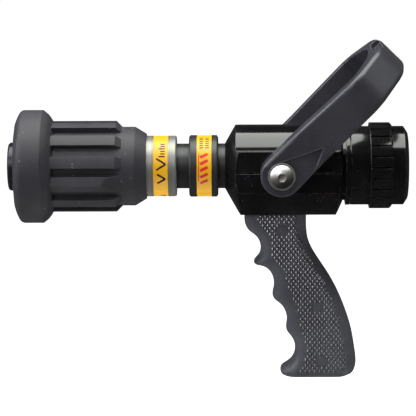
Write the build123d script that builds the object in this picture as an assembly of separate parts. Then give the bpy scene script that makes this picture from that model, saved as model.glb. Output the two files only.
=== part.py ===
from build123d import *

import os
from math import pi, sqrt

# Fire hose nozzle: combination fog tip, ball valve with a bail handle, pistol grip and hose swivel.
# Millimetres. The waterway is the X axis, +X towards the hose, +Z up, and the grip hangs down.
# The origin is the centre of the hose coupling's mouth.

# ---- driving dimensions: clearances ----
running = 0.06          # radial, turning or sliding metal fits
seal_gap = 0.08         # radial, rings and seals to what they run on
pocket_gap = 0.05       # all round, pieces that are put in a pocket and stay there
seat_gap = 0.3          # ball to seat
rubber_gap = 0.4        # rubber lip to the barrel ring under it

# ---- driving dimensions: hose swivel ----
thread_r = 25.4         # root of the 1.5 inch female hose thread
thread_len = 19.0
gasket_t = 3.8
gasket_recess = 0.6     # the gasket's pocket is wider than the thread
coupling_len = 44.1
coupling_wall = 5.1
coupling_rim = 0.5      # flat left at the mouth outside the thread
coupling_bevel = 3.0
lug_height = 2.9
lug_front = 29.3        # from the mouth
lug_rear = 12.3
lug_bevel = 1.6
lug_count = 24
lug_groove = 1.4        # width of the grooves between lugs
lug_groove_depth = 1.7
shelf = 0.98            # step from the thread to the bore that runs on the tail
tail_wall = 5.37
swivel_slack = 0.8      # between coupling and tail flange
flange_t = 3.0
flange_lip = 0.1        # tail flange over the coupling
race_from_mouth = 37.0
race_ball_r = 2.38
race_plug_r = 3.0
seal_from_mouth = 30.0
seal_groove = 2.8       # width of the O-ring grooves in the tail
swivel_seal_depth = 2.0
tail_seal_depth = 1.6

# ---- driving dimensions: ball and seats ----
ball_bore_r = 17.5
ball_wall = 8.5
seat_near = 14.0        # seat ring, from the ball's centre
seat_far = 22.0
seat_wall = 7.0

# ---- driving dimensions: valve body ----
body_len = 90.4
tail_neck = 2.5         # between the body and the tail flange
pivot_from_rear = 47.4  # the ball's centre and the handle's hinge
ball_room = 1.0         # ball to cavity
body_wall = 5.0
pad_wall = 5.0          # at the flat side pads
pad_top = 16.7
pad_bottom = -15.6
saddle_wall = 8.5       # under the cavity
saddle_ledge = 2.0      # pads overhang the saddle by this much
saddle_bend = (23.4, 7.4)   # half width, and height over the saddle's flat
saddle_half = 17.2
nose_lip = 0.5          # small end of the front cone, outside the tube
front_cone_rise = 5.8   # large end of the front cone, outside the pads
front_cone_len = 11.3
rear_lip = 1.4          # small end of the rear cone, outside the cavity
rear_cone_rise = 7.6
rear_cone_len = 5.3
pad_line = 1.0          # width of the groove along the middle of each pad
pad_line_depth = 0.5

# ---- driving dimensions: outlet tube, collar and barrel ----
tube_r = 17.4
tube_wall = 2.9
tube_thread_step = 0.5
tube_in_body = 12.8
tube_in_barrel = 20.0
rear_neck = 5.4         # of tube seen between body and collar
collar_len = 22.5
collar_wall = 6.55
collar_bevel = 1.2
collar_step = 1.6
front_neck = 9.7        # of tube seen between collar and barrel
barrel_stops = 13.0     # behind the pattern sleeve's front
barrel_ring_len = 36.6
barrel_wall = 3.8
barrel_step = 0.9       # tube to the barrel's own bore
barrel_ring_rise = 3.3
barrel_lip = 1.3
throat_len = 12.0
band_depth = 0.7
band_t = 0.5
front_band = (6.4, 17.8)    # from the barrel's rear
rear_band = (5.9, 17.5)     # from the collar's front
barrel_seal_in = 10.0
barrel_seal_depth = 1.4

# ---- driving dimensions: stem and baffle ----
spider_t = 4.0
spider_hub_r = 7.0
spider_vane = 2.4
spider_hub_len = 12.0
stem_r = 5.0
stem_thread_r = 3.5
nut_t = 6.0
baffle_room = 2.9       # baffle to the fog teeth
baffle_edge = 4.5       # thickness of the baffle's rim
baffle_len = 15.8
baffle_neck_r = 8.0
baffle_stands_out = 5.8     # of the bumper
baffle_screw_r = 2.0
baffle_screw_head_r = 5.1

# ---- driving dimensions: pattern sleeve ----
sleeve_clear = 23.2     # of barrel seen behind the sleeve
sleeve_len = 101.4
sleeve_wall = 6.4       # between the ribs
sleeve_lip_wall = 1.2
sleeve_lip = 20.4       # length of the rubber lip behind the shaper
sleeve_taper = 8.8
rib_height = 4.7
rib_width = 9.7
rib_count = 12
rib_first = -14.5       # degrees, first rib's centre, from -Y towards +Z
rib_from_rear = 23.4
bumper_rise = 13.3
bumper_len = 21.3
bumper_round = 5.4      # along the waterway, the front corner is drawn out sideways
bumper_lip = 9.9        # width of the bumper's front face
bumper_shoulder = 7.5
bumper_foot = 1.2       # from the shoulder down to the sleeve between the ribs
pointer_rib = 0         # this rib is the pointer, wider, with a ridge and a sloping rear end
pointer_width = 14.0
pointer_rise = 1.4
pointer_eave = 2.0      # its side edges, below the ribs
pointer_hip = 15.0      # length of its sloping end
pointer_from_rear = 19.4
shaper_wall = 3.84
shaper_inset = 12.0     # behind the bumper's front
tooth_count = 30
tooth_width = 2.4
tooth_len = 5.0
tooth_room = 1.3        # teeth to the barrel's tube
tooth_height = 7.4
cam_pin_r = 2.5
cam_pin_from_rear = 71.6    # from the barrel's rear
cam_pin_count = 2
cam_lead = 25.0         # travel for one full turn
cam_slack = 0.4
turn_to_straight = 120.0
turn_to_flush = 60.0
sleeve_seal_in = 8.0    # from the shaper's front
guide_in = 7.0          # from the shaper's rear
guide_width = 6.0
guide_t = 1.0
sleeve_seal_depth = 1.7

# ---- driving dimensions: handle ----
washer_t = 0.8          # room for the thrust washer between pad and arm
arm_t = 12.0
arm_half = 16.3         # half width of the strap round the pivot
strap_end_half = 13.7   # half width of the strap at the crosspiece
splay_from = 28.0
splay_to = 92.0
splay = 13.8
bar_in = 112.0          # crosspiece, from the pivot
bar_t = 11.8
bar_pocket = (33.0, 7.6, 4.5)   # pocket in its front edge: length, width, depth
handle_angle = 45.9     # above the waterway, pulled back, valve open
edge_round = 3.5
pad_step = 0.8          # arms stand this much proud of the flat round the screw
shaft_r = 6.95
bush_wall = 2.1
shaft_groove = 2.2
shaft_groove_depth = 1.6
drive_square = 9.6
drive_depth = 7.7
tang_flat = 9.8
slot_wall = 3.5         # ball left between its bore and the drive slot
screw_r = 2.95
screw_flange_r = 10.5
screw_flange_t = 1.2
screw_dome_r = 9.0
screw_dome_h = 3.8
screw_hex = 6.0
screw_len = 15.5
washer_rim = 6.0

# ---- driving dimensions: pistol grip, from the pivot (X) and from the saddle (Z) ----
grip_half_t = 15.0
grip_wall = 3.2
grip_front_edge = ((-27.6, 0.0), (-27.6, -10.6), (-25.4, -14.8), (-20.2, -18.6), (-16.3, -24.3),
                   (-15.5, -30.3), (-17.4, -36.0), (-20.9, -39.2), (-21.7, -41.4), (-19.4, -42.8),
                   (-13.4, -43.9), (-7.7, -48.7), (-5.3, -55.8), (-5.7, -63.0), (-6.7, -67.2),
                   (-5.4, -70.2), (-0.9, -73.5), (3.7, -80.3), (5.1, -87.4), (4.2, -92.6),
                   (4.2, -95.4), (7.2, -99.2), (10.7, -105.1), (11.5, -112.2), (9.6, -118.2),
                   (4.0, -123.4), (0.1, -126.0), (-0.2, -130.2), (4.0, -133.0))
grip_rear_edge = ((50.9, -133.0), (56.6, -130.5), (59.1, -125.0), (58.6, -112.2), (55.5, -94.5),
                  (50.3, -78.0), (43.3, -61.5), (35.2, -47.3), (26.1, -33.3), (21.4, -23.0),
                  (20.1, -15.0), (20.0, 0.0))
grip_hollow = ((-24.2, 4.0), (-24.2, -10.0), (-15.3, -20.5), (-11.8, -31.0), (-12.8, -38.6),
               (-2.3, -50.5), (-1.8, -64.5), (7.7, -82.5), (8.8, -94.5), (15.2, -106.5),
               (13.9, -121.0), (12.0, -129.0), (51.8, -129.0), (55.2, -124.5), (54.7, -111.5),
               (51.7, -94.5), (46.7, -78.5), (39.7, -62.5), (31.8, -48.5), (22.8, -34.0),
               (17.8, -23.0), (16.5, -14.5), (16.5, 4.0))
grip_screw_spots = ((1.9, -13.5), (28.6, -75.3), (32.1, -118.3))
tang_plate = (-23.6, 15.9)
tang_plate_t = 5.0
tang_half_t = 5.0
tang_outline = ((-9.2, -4.0), (4.8, -4.0), (15.8, -24.5), (27.8, -55.5), (35.5, -78.0),
                (20.0, -83.0), (9.8, -56.5), (-3.2, -24.5))
tang_bolt_x = (-17.4, 11.8)
grip_bolt_r = 2.5
grip_bolt_head_r = 3.8
grip_bolt_head_t = 3.4
grip_bolt_reach = 6.0
grip_screw_r = 2.0
grip_screw_head_r = 3.6
grip_screw_head_t = 2.6
grip_boss_r = 5.0

# ---- worked out: radii ----
coupling_r = thread_r + coupling_wall
lug_r = coupling_r + lug_height
tail_r = thread_r - shelf
waterway_r = tail_r - tail_wall
race_r = tail_r + running / 2
race_ball_count = int(2 * pi * race_r / (2.14 * race_ball_r))
flange_r = coupling_r + flange_lip
ball_r = ball_bore_r + ball_wall
seat_r = ball_bore_r + seat_wall
cavity_r = ball_r + ball_room
tail_thread_r = cavity_r - pocket_gap
body_r = cavity_r + body_wall
pad_y = cavity_r + pad_wall
saddle_z = -(cavity_r + saddle_wall)
tube_bore_r = tube_r - tube_wall
tube_thread_r = tube_r - tube_thread_step
collar_r = tube_r + collar_wall
barrel_bore_r = tube_r - barrel_step
barrel_tube_r = barrel_bore_r + barrel_wall
barrel_ring_r = barrel_tube_r + barrel_ring_rise
shaper_r = barrel_tube_r + running + shaper_wall
sleeve_r = shaper_r + sleeve_wall
rib_r = sleeve_r + rib_height
bumper_r = sleeve_r + bumper_rise
bumper_mouth_r = bumper_r - bumper_lip
tooth_in_r = barrel_tube_r + tooth_room
baffle_r = tooth_in_r - baffle_room
bush_r = shaft_r + bush_wall
arm_in = pad_y + washer_t
arm_out = arm_in + arm_t
shaft_end = arm_in + drive_depth

# ---- worked out: places along the waterway, from the mouth forwards ----
tail_rear = -(thread_len + gasket_t + 0.2)
flange_rear = -(coupling_len + swivel_slack)
flange_front = flange_rear - flange_t
body_rear = flange_front - tail_neck
body_front = body_rear - body_len
pivot_x = body_rear - pivot_from_rear
tail_seal_x = pivot_x + seat_near + 5.0
tube_step_x = body_front + tube_in_body
collar_rear = body_front - rear_neck
collar_front = collar_rear - collar_len
barrel_rear = collar_front - front_neck
barrel_front = barrel_rear - sleeve_clear - sleeve_len + barrel_stops
barrel_ring_front = barrel_rear - barrel_ring_len
barrel_seal_x = barrel_rear - barrel_seal_in
tube_front = barrel_rear - tube_in_barrel
spider_front = tube_front - spider_t
sleeve_rear = barrel_rear - sleeve_clear
bumper_front = sleeve_rear - sleeve_len
bumper_rear = bumper_front + bumper_len
shoulder_end = bumper_rear + bumper_shoulder
foot_end = shoulder_end + bumper_foot
rib_end = sleeve_rear - rib_from_rear
pointer_end = sleeve_rear - pointer_from_rear
shaper_rear = sleeve_rear - sleeve_lip
shaper_front = bumper_front + shaper_inset
sleeve_seal_x = shaper_front + sleeve_seal_in
guide_x = shaper_rear - guide_in
cam_pin_x = barrel_rear - cam_pin_from_rear
baffle_front = bumper_front - baffle_stands_out
baffle_neck_x = baffle_front + baffle_len
pivot = Pos(pivot_x, 0, 0)


def turned(*corners):
    """A solid turned about the waterway from its (x, radius) corners."""
    return revolve(make_face(Polyline(*corners, close=True)), Axis.X, 360)


def ring(x0, x1, inner, outer):
    return turned((x0, inner), (x1, inner), (x1, outer), (x0, outer))


def rod(x0, x1, radius):
    return turned((x0, 0), (x1, 0), (x1, radius), (x0, radius))


def o_ring(x, middle, half):
    return Pos(x, 0, 0) * Rot(0, 90, 0) * Torus(middle, half)


def cross_rod(y0, y1, radius, x=0.0, z=0.0):
    """A round bar along Y."""
    return Pos(x, (y0 + y1) / 2, z) * Rot(90, 0, 0) * Cylinder(radius, abs(y1 - y0))


def slab(x0, x1, y0, y1, z0, z1):
    centre = Pos((x0 + x1) / 2, (y0 + y1) / 2, (z0 + z1) / 2)
    return centre * Box(abs(x1 - x0), abs(y1 - y0), abs(z1 - z0))


def both_sides(piece):
    """The piece and its mirror image across the middle plane."""
    return piece + mirror(piece, Plane.XZ)


def side_plate(corners, y0, y1):
    """A plate with its outline in X and Z, between two Y values."""
    outline = make_face(Polyline(*corners, close=True))
    return Pos(0, max(y0, y1), 0) * Rot(90, 0, 0) * extrude(outline, abs(y1 - y0))


def save(name, piece):
    export_step(piece, os.path.join("parts", name + ".step"))


# ---------------------------------------------------------------- hose swivel
def make_tail_piece():
    body = turned(
        (pivot_x + seat_near, seat_r + pocket_gap), (pivot_x + seat_near, tail_thread_r),
        (flange_front, tail_thread_r), (flange_front, flange_r), (flange_rear, flange_r),
        (flange_rear, tail_r), (tail_rear, tail_r), (tail_rear, waterway_r),
        (pivot_x + 2 * seat_far, waterway_r), (pivot_x + seat_far, ball_bore_r),
        (pivot_x + seat_far, seat_r + pocket_gap))
    body -= o_ring(-race_from_mouth, race_r, race_ball_r + seal_gap)
    half = seal_groove / 2
    seal_x = -seal_from_mouth
    body -= ring(seal_x - half, seal_x + half, tail_r - swivel_seal_depth, tail_r + 1)
    body -= ring(tail_seal_x - half, tail_seal_x + half,
                 tail_thread_r - tail_seal_depth, tail_thread_r + 1)
    return body


def make_coupling():
    bore_step = -(thread_len + gasket_t + 0.1)
    shell = turned(
        (0, thread_r), (0, thread_r + coupling_rim), (-coupling_bevel, coupling_r),
        (-coupling_len, coupling_r), (-coupling_len, tail_r + running),
        (bore_step, tail_r + running), (bore_step, thread_r + gasket_recess),
        (-thread_len, thread_r + gasket_recess), (-thread_len, thread_r))
    lugs = turned(
        (-lug_rear, coupling_r - 1), (-lug_rear, lug_r - lug_bevel), (-lug_rear - lug_bevel, lug_r),
        (-lug_front, lug_r), (-lug_front, coupling_r - 1))
    groove = slab(-lug_front - 1, -lug_rear + 1, -lug_groove / 2, lug_groove / 2,
                  lug_r - lug_groove_depth, lug_r + 2)
    grooves = [Rot(360 / lug_count * (i + 0.5), 0, 0) * groove for i in range(lug_count)]
    shell += lugs - grooves
    shell -= o_ring(-race_from_mouth, race_r, race_ball_r + seal_gap)
    shell -= Pos(-race_from_mouth, 0, -coupling_r) * Cylinder(race_plug_r, 2 * (coupling_r - race_r))
    return shell


def make_race_plug():
    low = coupling_r - 0.3
    high = race_r + race_ball_r + 0.3
    plug = Pos(-race_from_mouth, 0, -(low + high) / 2) * Cylinder(race_plug_r - pocket_gap, low - high)
    socket = extrude(RegularPolygon(1.5, 6), 1.5)
    return plug - Pos(-race_from_mouth, 0, -low) * socket


def make_race_balls():
    balls = []
    for i in range(race_ball_count):
        turn = 360 / race_ball_count * (i + 0.5)
        balls.append(Rot(turn, 0, 0) * Pos(-race_from_mouth, 0, race_r) * Sphere(race_ball_r))
    return Compound(children=balls)


# ---------------------------------------------------------------- valve
def make_valve_body():
    side = Plane.YZ
    section = Circle(body_r) + Pos(0, (pad_top + pad_bottom) / 2) * Rectangle(
        2 * pad_y, pad_top - pad_bottom)
    saddle = [(pad_y - saddle_ledge, pad_bottom), (saddle_bend[0], saddle_z + saddle_bend[1]),
              (saddle_half, saddle_z)]
    mirrored = [(-y, z) for y, z in reversed(saddle)]
    section += make_face(Polyline(*saddle, *mirrored, close=True))
    block = extrude(side * section, body_rear - body_front)
    block = Pos(body_front, 0, 0) * block
    cone_x = body_front + front_cone_len
    tail_cone_x = body_rear - rear_cone_len
    reach = pad_y + front_cone_rise + 8
    envelope = turned(
        (body_front, 0), (body_front, tube_r + nose_lip), (cone_x, pad_y + front_cone_rise),
        (cone_x + 2, reach), (tail_cone_x - 2, reach), (tail_cone_x, pad_y + rear_cone_rise),
        (body_rear, cavity_r + rear_lip), (body_rear, 0))
    block &= envelope
    for y in (-1, 1):
        block -= slab(body_front, body_rear, y * pad_y, y * (pad_y - pad_line_depth),
                      -pad_line / 2, pad_line / 2)
    seat_x = pivot_x - seat_far
    block -= turned(
        (body_rear, 0), (body_rear, cavity_r), (pivot_x - seat_near, cavity_r),
        (pivot_x - seat_near, seat_r + pocket_gap), (seat_x, seat_r + pocket_gap),
        (seat_x, ball_bore_r), (tube_step_x, tube_bore_r),
        (tube_step_x, tube_thread_r), (body_front, tube_thread_r), (body_front, 0))
    block -= cross_rod(-pad_y - 1, pad_y + 1, bush_r, pivot_x)
    for x in tang_bolt_x:
        block -= Pos(pivot_x + x, 0, saddle_z) * Cylinder(grip_bolt_r, 2 * (grip_bolt_reach + 0.5))
    return block


def make_ball():
    ball = Sphere(ball_r) - Rot(0, 90, 0) * Cylinder(ball_bore_r, 3 * ball_r)
    slot_floor = ball_bore_r + slot_wall
    slot = slab(-tang_flat / 2 - pocket_gap, tang_flat / 2 + pocket_gap,
                slot_floor, ball_r + 1, -ball_r, ball_r)
    return pivot * (ball - both_sides(slot))


def make_seat(direction):
    """One seat ring: direction -1 is the outlet side, 1 the inlet side."""
    cup = ball_r + seat_gap
    lip = sqrt(cup ** 2 - ball_bore_r ** 2)
    rim_r = sqrt(cup ** 2 - seat_near ** 2)
    middle = (lip + seat_near) / 2
    face = ThreePointArc((lip, ball_bore_r), (middle, sqrt(cup ** 2 - middle ** 2)), (seat_near, rim_r))
    back = Polyline((seat_near, rim_r), (seat_near, seat_r), (seat_far, seat_r),
                    (seat_far, ball_bore_r), (lip, ball_bore_r))
    seat = revolve(make_face(face + back), Axis.X, 360)
    if direction < 0:
        seat = mirror(seat, Plane.YZ)
    return pivot * seat


def make_shafts():
    start = ball_bore_r + slot_wall + 0.3
    groove_y = pad_y - pad_wall / 2
    round_part = cross_rod(start, arm_in, shaft_r)
    flats = slab(-tang_flat / 2, tang_flat / 2, start - 1, ball_r + 0.6, -shaft_r, shaft_r)
    flats += slab(-shaft_r, shaft_r, ball_r + 0.6, arm_in, -shaft_r, shaft_r)
    shaft = round_part & flats
    square = slab(-drive_square / 2, drive_square / 2, arm_in, shaft_end,
                  -drive_square / 2, drive_square / 2)
    shaft += Rot(0, -handle_angle, 0) * square
    shaft -= cross_rod(arm_out - screw_len - 1, shaft_end, screw_r)
    half = shaft_groove / 2
    groove = cross_rod(groove_y - half, groove_y + half, shaft_r + 1)
    groove -= cross_rod(groove_y - half, groove_y + half, shaft_r - shaft_groove_depth)
    return pivot * both_sides(shaft - groove)


def make_bushes():
    start = cavity_r + 0.2
    bush = cross_rod(start, pad_y, bush_r) - cross_rod(start - 1, pad_y + 1, shaft_r + running)
    return pivot * both_sides(bush)


def make_shaft_seals():
    half = shaft_groove_depth / 2
    seal = Pos(0, pad_y - pad_wall / 2, 0) * Rot(90, 0, 0) * Torus(shaft_r - half, half)
    return pivot * both_sides(seal)


# ---------------------------------------------------------------- handle
def strap_outline(half_width, start, end):
    """Half of the U seen square to it: out along the arm and round the crosspiece."""
    corner = ((start, half_width), (splay_from, half_width), (splay_to, half_width + splay),
              (end - 4, half_width * 0.70), (end, 0))
    return corner


def make_handle():
    back = -arm_half - 1
    outer = FilletPolyline(*strap_outline(arm_out + pad_step, back, bar_in + bar_t),
                           *[(s, -y) for s, y in reversed(strap_outline(
                               arm_out + pad_step, back, bar_in + bar_t)[:-1])],
                           radius=[45, 20, 26, 90, 26, 20, 45])
    inner = FilletPolyline(*strap_outline(arm_in, back, bar_in),
                           *[(s, -y) for s, y in reversed(strap_outline(
                               arm_in, back, bar_in)[:-1])],
                           radius=[45, 12, 16, 90, 16, 12, 45])
    depth = 2 * arm_half + 4
    hoop = extrude(make_face(outer + Line(outer @ 1, outer @ 0)), depth)
    hoop -= extrude(make_face(inner + Line(inner @ 1, inner @ 0)), depth)
    hoop = Pos(0, 0, -depth / 2) * hoop
    reach = bar_in + bar_t + 2
    side = [(0, arm_half), (reach, strap_end_half), (reach, -strap_end_half), (0, -arm_half)]
    strap = side_plate(side, -80, 80) + cross_rod(-80, 80, arm_half)
    hoop &= strap
    outer_edges = [e for e in hoop.edges() if is_outer_rim(e)]
    hoop = fillet(outer_edges, edge_round)
    flat = ((38, -6.9), (4.1, 10), (-12, 18.1), (-22, 18.1), (-22, -24), (0.6, -24.6))
    hoop -= both_sides(side_plate(flat, arm_out, arm_out + 6))
    length, width, depth = bar_pocket
    frame = (bar_t - width) / 2
    hoop -= slab(bar_in + frame, bar_in + bar_t - frame, -length / 2, length / 2,
                 strap_end_half - depth, strap_end_half + 5)
    square = drive_square + 2 * pocket_gap
    drive = slab(-square / 2, square / 2, arm_in - 1, shaft_end + pocket_gap, -square / 2, square / 2)
    hoop -= both_sides(drive)
    hoop -= both_sides(cross_rod(arm_in, arm_out + 8, screw_r + 0.2))
    return pivot * Rot(0, -handle_angle, 0) * hoop


def is_outer_rim(edge):
    """True for the long edges round the outside of the strap, both faces."""
    box = edge.bounding_box()
    middle = edge @ 0.5
    outside = abs(middle.Y) > arm_out - 0.1 or middle.X > bar_in + bar_t - 6
    flat_ended = box.size.Z > 1.0 and box.size.X < 0.01
    return outside and not flat_ended


def make_washers():
    start = pad_y + running
    washer = cross_rod(start, arm_in - running, shaft_r + washer_rim)
    washer -= cross_rod(start - 1, arm_in + 1, shaft_r + 0.2)
    return pivot * both_sides(washer)


def make_handle_screws():
    flange = cross_rod(arm_out, arm_out + screw_flange_t, screw_flange_r)
    ball_centre = (screw_dome_h ** 2 - screw_dome_r ** 2) / (2 * screw_dome_h)
    dome_r = screw_dome_h - ball_centre
    dome_base = arm_out + screw_flange_t
    dome = Pos(0, dome_base + ball_centre, 0) * Sphere(dome_r)
    dome &= slab(-20, 20, dome_base, dome_base + 20, -20, 20)
    shank = cross_rod(arm_out - screw_len, arm_out, screw_r - 0.02)
    screw = flange + dome + shank
    socket = extrude(RegularPolygon(screw_hex / 2, 6, major_radius=False), 3.0)
    top = dome_base + screw_dome_h
    screw -= Pos(0, top, 0) * Rot(90, 0, 0) * socket
    return pivot * both_sides(screw)


# ---------------------------------------------------------------- outlet, collar and barrel
def make_outlet_tube():
    tube = turned(
        (tube_front, tube_bore_r), (tube_front, tube_r), (body_front, tube_r),
        (body_front, tube_thread_r - pocket_gap), (tube_step_x, tube_thread_r - pocket_gap),
        (tube_step_x, tube_bore_r))
    groove = ring(barrel_seal_x - barrel_seal_depth / 2 - 0.3, barrel_seal_x + barrel_seal_depth / 2 + 0.3,
                  tube_r - barrel_seal_depth, tube_r + 1)
    return tube - groove


def make_collar():
    bore = tube_r + 0.01
    ring_body = turned(
        (collar_front, bore), (collar_front, collar_r - collar_bevel),
        (collar_front + collar_bevel, collar_r), (collar_rear - collar_bevel, collar_r),
        (collar_rear, collar_r - collar_step), (collar_rear, bore))
    start, end = (collar_front + x for x in rear_band)
    return ring_body - ring(start, end, collar_r - band_depth, collar_r + 1)


def make_barrel():
    bore = tube_r + 0.01
    barrel = turned(
        (barrel_rear, bore), (barrel_rear, barrel_ring_r - 0.8),
        (barrel_rear - 0.8, barrel_ring_r), (barrel_ring_front, barrel_ring_r),
        (barrel_ring_front, barrel_tube_r), (barrel_front, barrel_tube_r),
        (barrel_front, barrel_bore_r - barrel_lip), (barrel_front + throat_len, barrel_bore_r),
        (spider_front, barrel_bore_r), (spider_front, bore), (tube_front, bore))
    start, end = (barrel_rear - x for x in reversed(front_band))
    barrel -= ring(start, end, barrel_ring_r - band_depth, barrel_ring_r + 1)
    return barrel - make_cam_pins()


def make_band(start, end, radius):
    seat = radius - band_depth
    return ring(start + 0.1, end - 0.1, seat, seat + band_t)


def make_cam_pins():
    pins = Part()
    for i in range(cam_pin_count):
        low = barrel_bore_r + 0.5
        high = shaper_r - 0.6
        pin = Pos(cam_pin_x, 0, (low + high) / 2) * Cylinder(cam_pin_r, high - low)
        pins += Rot(360 / cam_pin_count * i, 0, 0) * pin
    return pins


# ---------------------------------------------------------------- stem and baffle
def make_spider():
    rear = spider_front + spider_t
    hub_front = rear - spider_hub_len
    spider = ring(spider_front, rear, tube_bore_r, tube_r - pocket_gap)
    spider += rod(hub_front, rear, spider_hub_r)
    for i in range(3):
        vane = slab(spider_front, rear, -spider_vane / 2, spider_vane / 2, 0, tube_bore_r + 1)
        spider += Rot(120 * i + 60, 0, 0) * vane
    return spider - rod(hub_front - 1, rear + 1, stem_thread_r)


def make_stem():
    rear = spider_front + spider_t + nut_t + 1.5
    hub_front = spider_front + spider_t - spider_hub_len
    stem = rod(hub_front, rear, stem_thread_r - 0.02)
    stem += rod(baffle_neck_x, hub_front, stem_r)
    stem += rod(baffle_front + 6, baffle_neck_x, stem_thread_r - 0.02)
    return stem - rod(baffle_front + 5, baffle_front + 16, baffle_screw_r)


def make_stem_nut():
    rear = spider_front + spider_t
    hexagon = RegularPolygon(stem_thread_r + 2.5, 6, major_radius=False)
    nut = Pos(rear, 0, 0) * extrude(Plane.YZ * hexagon, nut_t)
    return nut - rod(rear - 1, rear + nut_t + 1, stem_thread_r)


def make_baffle():
    rim_back = baffle_front + baffle_edge
    head = turned(
        (baffle_front, 0), (baffle_front, baffle_r - 1.2), (baffle_front + 1.2, baffle_r),
        (rim_back, baffle_r), (rim_back + 6, baffle_neck_r + 3), (baffle_neck_x, baffle_neck_r),
        (baffle_neck_x, 0))
    head -= rod(baffle_front + 6 - 0.05, baffle_neck_x + 1, stem_thread_r)
    sink = baffle_screw_head_r + 0.1
    hole = baffle_screw_r + 0.1
    head -= turned((baffle_front - 1, 0), (baffle_front - 1, sink), (baffle_front, sink),
                   (baffle_front + 3.2, hole), (baffle_front + 7, hole), (baffle_front + 7, 0))
    return head


def make_baffle_screw():
    shank = baffle_screw_r - 0.02
    screw = turned((baffle_front, 0), (baffle_front, baffle_screw_head_r),
                   (baffle_front + 3.1, shank), (baffle_front + 15, shank), (baffle_front + 15, 0))
    socket = extrude(Plane.YZ * RegularPolygon(1.6, 6, major_radius=False), 2.2)
    return screw - Pos(baffle_front, 0, 0) * socket


# ---------------------------------------------------------------- pattern sleeve
def make_shaper():
    bore = barrel_tube_r + running
    shaper = turned(
        (shaper_rear, bore), (shaper_rear, shaper_r), (shaper_front, shaper_r),
        (shaper_front, shaper_r - 1.2), (shaper_front + 4, bore))
    shaper -= ring(sleeve_seal_x - 1.3, sleeve_seal_x + 1.3, bore - 1, barrel_tube_r + sleeve_seal_depth)
    half = guide_width / 2 + pocket_gap
    shaper -= ring(guide_x - half, guide_x + half, bore - 1, barrel_tube_r + guide_t + pocket_gap)
    for i in range(cam_pin_count):
        shaper -= Rot(360 / cam_pin_count * i, 0, 0) * cam_slot()
    return shaper


def cam_slot():
    """Helical slot: the pin starts on +Z and the slot follows the sleeve's turn both ways."""
    slot = Part()
    radius = cam_pin_r + cam_slack
    steps = 30
    for k in range(steps + 1):
        turn = -turn_to_straight + (turn_to_straight + turn_to_flush) * k / steps
        shift = -cam_lead * turn / 360
        cutter = Pos(cam_pin_x + shift, 0, shaper_r) * Cylinder(radius, 12)
        slot += Rot(turn, 0, 0) * cutter
    return slot


def make_rubber_sleeve():
    lip_r = barrel_ring_r + rubber_gap
    line = Polyline(
        (shoulder_end, rib_r), (foot_end, sleeve_r), (sleeve_rear - sleeve_taper, sleeve_r),
        (sleeve_rear, lip_r + sleeve_lip_wall), (sleeve_rear, lip_r), (shaper_rear, lip_r), (shaper_rear, shaper_r),
        (shaper_front, shaper_r), (bumper_front, bumper_mouth_r))
    front = ThreePointArc(
        (bumper_front, bumper_mouth_r),
        (bumper_front + 0.3 * bumper_round, bumper_r - 0.3 * bumper_lip),
        (bumper_front + bumper_round, bumper_r))
    rim = Line((bumper_front + bumper_round, bumper_r), (bumper_rear, bumper_r))
    shoulder = ThreePointArc(
        (bumper_rear, bumper_r),
        (bumper_rear + 0.7 * bumper_shoulder, bumper_r - 0.3 * (bumper_r - rib_r)),
        (shoulder_end, rib_r))
    sleeve = revolve(make_face(line + front + rim + shoulder), Axis.X, 360)
    rib = turned(
        (bumper_rear - 2, sleeve_r - 1), (bumper_rear - 2, rib_r), (rib_end, rib_r),
        (rib_end + rib_height, sleeve_r), (rib_end + rib_height, sleeve_r - 1))
    for i in range(rib_count):
        if i == pointer_rib:
            continue
        bar = slab(bumper_front, sleeve_rear, -rib_width / 2, rib_width / 2, sleeve_r - 3, rib_r + 3)
        sleeve += Rot(90 - rib_first - 360 / rib_count * i, 0, 0) * (bar & rib)
    sleeve += Rot(90 - rib_first - 360 / rib_count * pointer_rib, 0, 0) * make_pointer()
    for i in range(tooth_count):
        sleeve += Rot(360 / tooth_count * i, 0, 0) * fog_tooth()
    return sleeve


def make_pointer():
    """The rib that marks the setting: a wide gabled bar with a sloping rear end."""
    half = pointer_width / 2
    eave = rib_r - pointer_eave
    ridge = rib_r + pointer_rise
    start = bumper_rear - 2
    under = sleeve_r - 2
    gable = make_face(Polyline(
        (-half, under), (-half, eave), (0, ridge), (half, eave), (half, under), close=True))
    bar = Pos(start, 0, 0) * extrude(Plane.YZ * gable, pointer_end - start)
    side = ((start, under), (start, ridge), (pointer_end - pointer_hip, ridge),
            (pointer_end, sleeve_r), (pointer_end, under))
    return bar & side_plate(side, -half, half)


def fog_tooth():
    half = tooth_width / 2
    back = shaper_front - 0.2
    tip = shaper_front - tooth_len
    outer = tooth_in_r + tooth_height
    outline = ((back, tooth_in_r + 1.2), (tip, tooth_in_r), (tip - 1.5, tooth_in_r + 0.8),
               (tip - 3.0, outer), (back, outer - 3.4))
    return side_plate(outline, -half, half)


# ---------------------------------------------------------------- pistol grip
def grip_outline():
    front = Spline(*grip_front_edge)
    rear = Spline(*grip_rear_edge)
    bottom = Line(grip_front_edge[-1], grip_rear_edge[0])
    top = Line(grip_rear_edge[-1], grip_front_edge[0])
    return make_face(front + bottom + rear + top)


def upright(piece):
    """Turns a piece drawn in X, Y so that its Y becomes Z, centred on the middle plane."""
    return Rot(90, 0, 0) * piece


def make_grip():
    """Both halves as one hollow shell, open at the top, split afterwards."""
    shell = extrude(grip_outline(), grip_half_t, both=True)
    hollow = make_face(Polyline(*grip_hollow, close=True))
    shell -= extrude(hollow, grip_half_t - grip_wall, both=True)
    return Pos(pivot_x, 0, saddle_z) * upright(shell)


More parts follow.
